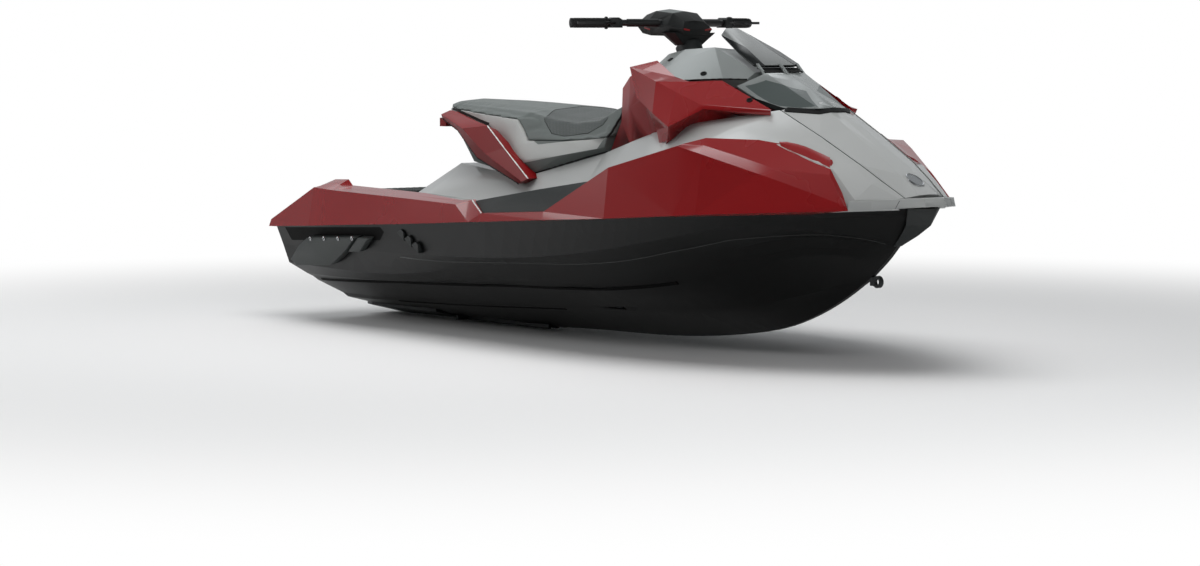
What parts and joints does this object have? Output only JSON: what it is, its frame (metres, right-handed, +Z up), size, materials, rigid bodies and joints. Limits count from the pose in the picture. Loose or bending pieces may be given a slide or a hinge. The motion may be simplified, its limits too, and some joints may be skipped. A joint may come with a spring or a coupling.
{
  "type": "personal watercraft",
  "caption": "Sit-on jet-driven watercraft with a moulded hull and deck, long saddle seat, handlebar, opening hood, steering nozzle and reverse bucket.",
  "frame": {"origin": "amidships on the centre plane, on the waterline at rest", "axes": "+X towards the bow, +Y to port, +Z up"},
  "size_m": [3.28, 1.23, 1.183],
  "materials": {
    "hull_moulding": "satin",
    "engine": "satin",
    "red_gloss": "gloss",
    "dark_trim": "matte",
    "bumper_grey": "satin",
    "light_trim": "satin",
    "seat_cover": "matte",
    "console_silver": "satin",
    "shell_white": "gloss",
    "nose_silver": "gloss",
    "smoke": "gloss",
    "black_metal": "satin",
    "bar_black": "matte",
    "grip_rubber": "matte",
    "cast_alloy": "matte",
    "steel": "satin",
    "nozzle_plastic": "matte",
    "sponson_grey": "matte",
    "mat_foam": "matte"
  },
  "bodies": {
    "shell": {"hull": "hull_moulding", "deck": "shell_white", "engine_block": "engine", "side_panel_right": "red_gloss", "side_panel_left": "red_gloss", "coaming_right": "dark_trim", "coaming_left": "dark_trim", "bow_bumper": "bumper_grey", "stem_guard": "dark_trim", "seat_base": "light_trim", "seat_cushion": "seat_cover", "rear_cowl": "red_gloss", "console": "console_silver", "wing_right": "red_gloss", "wing_left": "red_gloss", "tank_cover": "red_gloss", "steering_neck": "dark_trim", "pump_housing": "cast_alloy", "ride_plate": "cast_alloy", "intake_grate": "steel", "sponson_right": "sponson_grey", "sponson_left": "sponson_grey", "side_vents": "dark_trim", "bow_eye": "steel", "stern_eyes": "steel", "stern_mat": "mat_foam", "footwell_mats": "mat_foam"},
    "steering": {"handlebar": "black_metal", "bar_pad": "bar_black", "grip_right": "grip_rubber", "grip_left": "grip_rubber", "control_pods": "dark_trim", "levers": "black_metal"},
    "hood_assembly": {"hood": "shell_white", "nose_module": "nose_silver", "visor": "smoke"},
    "rotor": {"impeller": "steel"},
    "nozzle": {"steering_nozzle": "nozzle_plastic"},
    "bucket": {"reverse_bucket": "nozzle_plastic"}
  },
  "joints": [
    {"name": "steering_turn", "type": "hinge", "parent": "shell", "child": "steering", "pos_m": [0.372, 0, 0.708], "axis": [-0.454, 0, 0.891], "range_deg": [-22, 22]},
    {"name": "nozzle_turn", "type": "hinge", "parent": "shell", "child": "nozzle", "pos_m": [-1.4, 0, -0.155], "axis": [0, 0, 1], "range_deg": [-22, 22]},
    {"name": "bucket_swing", "type": "hinge", "parent": "shell", "child": "bucket", "pos_m": [-1.4, 0, -0.155], "axis": [0, -1, 0], "range_deg": [0, 60]},
    {"name": "impeller_spin", "type": "hinge", "parent": "shell", "child": "rotor", "pos_m": [-1.15, 0, -0.155], "axis": [1, 0, 0], "continuous": true},
    {"name": "hood_open", "type": "hinge", "parent": "shell", "child": "hood_assembly", "pos_m": [1.59, 0, 0.252], "axis": [0, 1, 0], "range_deg": [0, 45]}
  ],
  "couplings": [
    {"joint": "nozzle_turn", "follows": "steering_turn", "ratio": -1}
  ]
}
